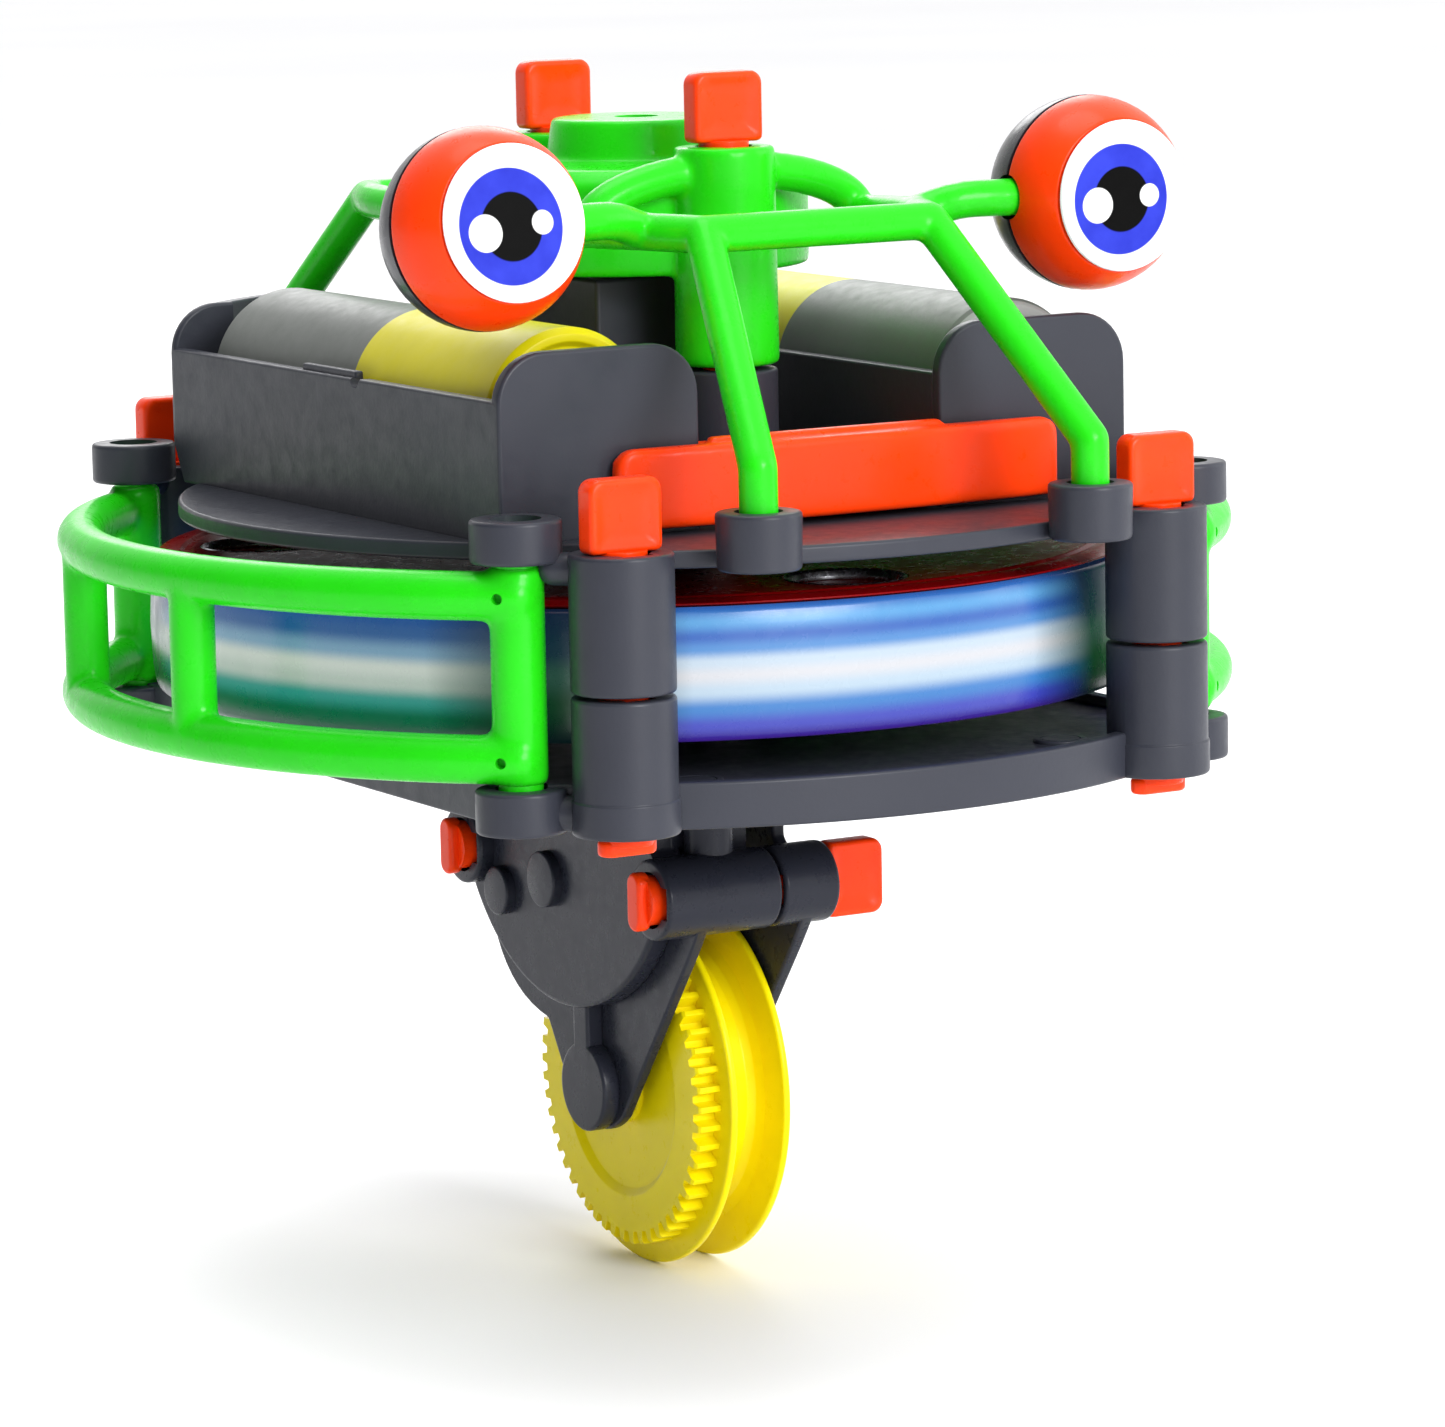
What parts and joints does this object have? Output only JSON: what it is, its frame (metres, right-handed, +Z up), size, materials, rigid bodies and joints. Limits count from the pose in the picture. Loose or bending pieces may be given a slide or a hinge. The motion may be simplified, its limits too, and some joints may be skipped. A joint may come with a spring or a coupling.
{
  "type": "light up gyroscope robot toy",
  "caption": "Small battery gyroscope robot with big eyes: a lit flywheel spins between two decks and a geared, grooved wheel carries it along a cord.",
  "frame": {"origin": "lowest point of the bottom of the drive wheel groove, where the wheel rests on its cord, in the middle of the groove", "axes": "+Z up, parallel to the flywheel shaft; the robot looks towards -Y; +X is on the right as it is seen from the front"},
  "size_m": [0.0958, 0.094, 0.0989],
  "materials": {
    "deck_plastic": "satin moulded plastic, dark blue-grey",
    "green_plastic": "glossy moulded plastic, bright green",
    "orange_plastic": "glossy moulded plastic, bright orange",
    "yellow_plastic": "glossy moulded plastic, yellow",
    "black_plastic": "black moulded plastic",
    "light_band": "milky diffuser, lit from inside blue and white",
    "cap_plastic": "polished dark red plastic",
    "steel": "bright steel",
    "brass": "turned brass",
    "gear_plastic": "white acetal",
    "circuit_board": "green circuit board",
    "led_lens": "clear epoxy",
    "cell_sleeve": "printed battery sleeve, grey and yellow halves",
    "eye_white": "printed disc, white with a blue iris"
  },
  "bodies": {
    "chassis": {"lower_deck": "deck_plastic", "upper_deck": "deck_plastic", "head_frame": "green_plastic", "left_guard": "green_plastic", "right_guard": "green_plastic", "gearbox_cover": "deck_plastic", "gearbox_plate": "deck_plastic", "crown_gear_pin": "steel", "reduction_gear_pin": "steel", "wheel_axle": "steel", "gearbox_screw_1": "steel", "gearbox_screw_2": "steel", "hub_screw": "steel", "shaft_bearing": "brass", "motor_can": "steel", "motor_end_cap": "black_plastic", "motor_magnet_left": "black_plastic", "motor_magnet_right": "black_plastic", "left_battery": "cell_sleeve", "right_battery": "cell_sleeve", "left_contact_spring": "steel", "right_contact_spring": "steel", "left_contact_plate": "brass", "right_contact_plate": "brass", "slide_switch": "steel"},
    "flywheel": {"flywheel_base": "black_plastic", "flywheel_band": "light_band", "flywheel_cap": "cap_plastic", "weight_ring": "steel", "flywheel_screw_1": "steel", "flywheel_screw_2": "steel", "flywheel_screw_3": "steel", "light_board": "circuit_board", "led_1": "led_lens", "led_2": "led_lens", "led_3": "led_lens", "button_cell_1": "steel", "button_cell_2": "steel", "flywheel_shaft": "steel", "drive_pinion": "brass", "motor_rotor": "brass"},
    "crown": {"crown_gear": "gear_plastic"},
    "reduction": {"reduction_gear": "gear_plastic"},
    "wheel": {"drive_wheel": "yellow_plastic"},
    "left_eye": {"left_eye_front": "orange_plastic", "left_eye_back": "deck_plastic", "left_eye_face": "eye_white"},
    "right_eye": {"right_eye_front": "orange_plastic", "right_eye_back": "deck_plastic", "right_eye_face": "eye_white"},
    "switch": {"switch_slider": "orange_plastic", "switch_knob": "black_plastic"},
    "deck_pin_front_left": {"deck_pin_front_left": "orange_plastic"},
    "deck_pin_front_right": {"deck_pin_front_right": "orange_plastic"},
    "deck_pin_back_left": {"deck_pin_back_left": "orange_plastic"},
    "deck_pin_back_right": {"deck_pin_back_right": "orange_plastic"},
    "hub_pin_front": {"hub_pin_front": "orange_plastic"},
    "hub_pin_back": {"hub_pin_back": "orange_plastic"},
    "gearbox_pin_front": {"gearbox_pin_front": "orange_plastic"},
    "gearbox_pin_back": {"gearbox_pin_back": "orange_plastic"}
  },
  "joints": [
    {"name": "flywheel_spin", "type": "hinge", "parent": "chassis", "child": "flywheel", "pos_m": [-0.0012, 0, 0.051], "axis": [0, 0, 1], "continuous": true},
    {"name": "crown_spin", "type": "hinge", "parent": "chassis", "child": "crown", "pos_m": [-0.0012, 0, 0.0335], "axis": [1, 0, 0], "continuous": true},
    {"name": "reduction_spin", "type": "hinge", "parent": "chassis", "child": "reduction", "pos_m": [-0.0012, 0.00464, 0.02579], "axis": [1, 0, 0], "continuous": true},
    {"name": "wheel_spin", "type": "hinge", "parent": "chassis", "child": "wheel", "pos_m": [-0.0012, 0, 0.011], "axis": [1, 0, 0], "continuous": true},
    {"name": "left_eye_tilt", "type": "hinge", "parent": "chassis", "child": "left_eye", "pos_m": [-0.0286, -0.0246, 0.08425], "axis": [1, 0, 0], "range_deg": [-35, 30]},
    {"name": "right_eye_tilt", "type": "hinge", "parent": "chassis", "child": "right_eye", "pos_m": [0.0262, -0.0246, 0.08425], "axis": [1, 0, 0], "range_deg": [-30, 35]},
    {"name": "switch_slide", "type": "slide", "parent": "chassis", "child": "switch", "axis": [1, 0, 0], "range_m": [-0.002, 0]},
    {"name": "deck_pin_front_left_turn", "type": "hinge", "parent": "chassis", "child": "deck_pin_front_left", "pos_m": [-0.0252, -0.039, 0.062], "axis": [0, 0, 1], "range_deg": [0, 90]},
    {"name": "deck_pin_front_right_turn", "type": "hinge", "parent": "chassis", "child": "deck_pin_front_right", "pos_m": [0.0228, -0.039, 0.062], "axis": [0, 0, 1], "range_deg": [0, 90]},
    {"name": "deck_pin_back_left_turn", "type": "hinge", "parent": "chassis", "child": "deck_pin_back_left", "pos_m": [-0.0252, 0.039, 0.062], "axis": [0, 0, 1], "range_deg": [0, 90]},
    {"name": "deck_pin_back_right_turn", "type": "hinge", "parent": "chassis", "child": "deck_pin_back_right", "pos_m": [0.0228, 0.039, 0.062], "axis": [0, 0, 1], "range_deg": [0, 90]},
    {"name": "hub_pin_front_turn", "type": "hinge", "parent": "chassis", "child": "hub_pin_front", "pos_m": [-0.0012, -0.014, 0.09], "axis": [0, 0, 1], "range_deg": [0, 90]},
    {"name": "hub_pin_back_turn", "type": "hinge", "parent": "chassis", "child": "hub_pin_back", "pos_m": [-0.0012, 0.014, 0.09], "axis": [0, 0, 1], "range_deg": [0, 90]},
    {"name": "gearbox_pin_front_turn", "type": "hinge", "parent": "chassis", "child": "gearbox_pin_front", "pos_m": [0.0088, -0.0148, 0.0291], "axis": [1, 0, 0], "range_deg": [0, 90]},
    {"name": "gearbox_pin_back_turn", "type": "hinge", "parent": "chassis", "child": "gearbox_pin_back", "pos_m": [0.0088, 0.0174, 0.0291], "axis": [1, 0, 0], "range_deg": [0, 90]}
  ],
  "couplings": [
    {"joint": "crown_spin", "follows": "flywheel_spin", "ratio": 0.4},
    {"joint": "reduction_spin", "follows": "flywheel_spin", "ratio": -0.11429},
    {"joint": "wheel_spin", "follows": "flywheel_spin", "ratio": 0.021978}
  ]
}
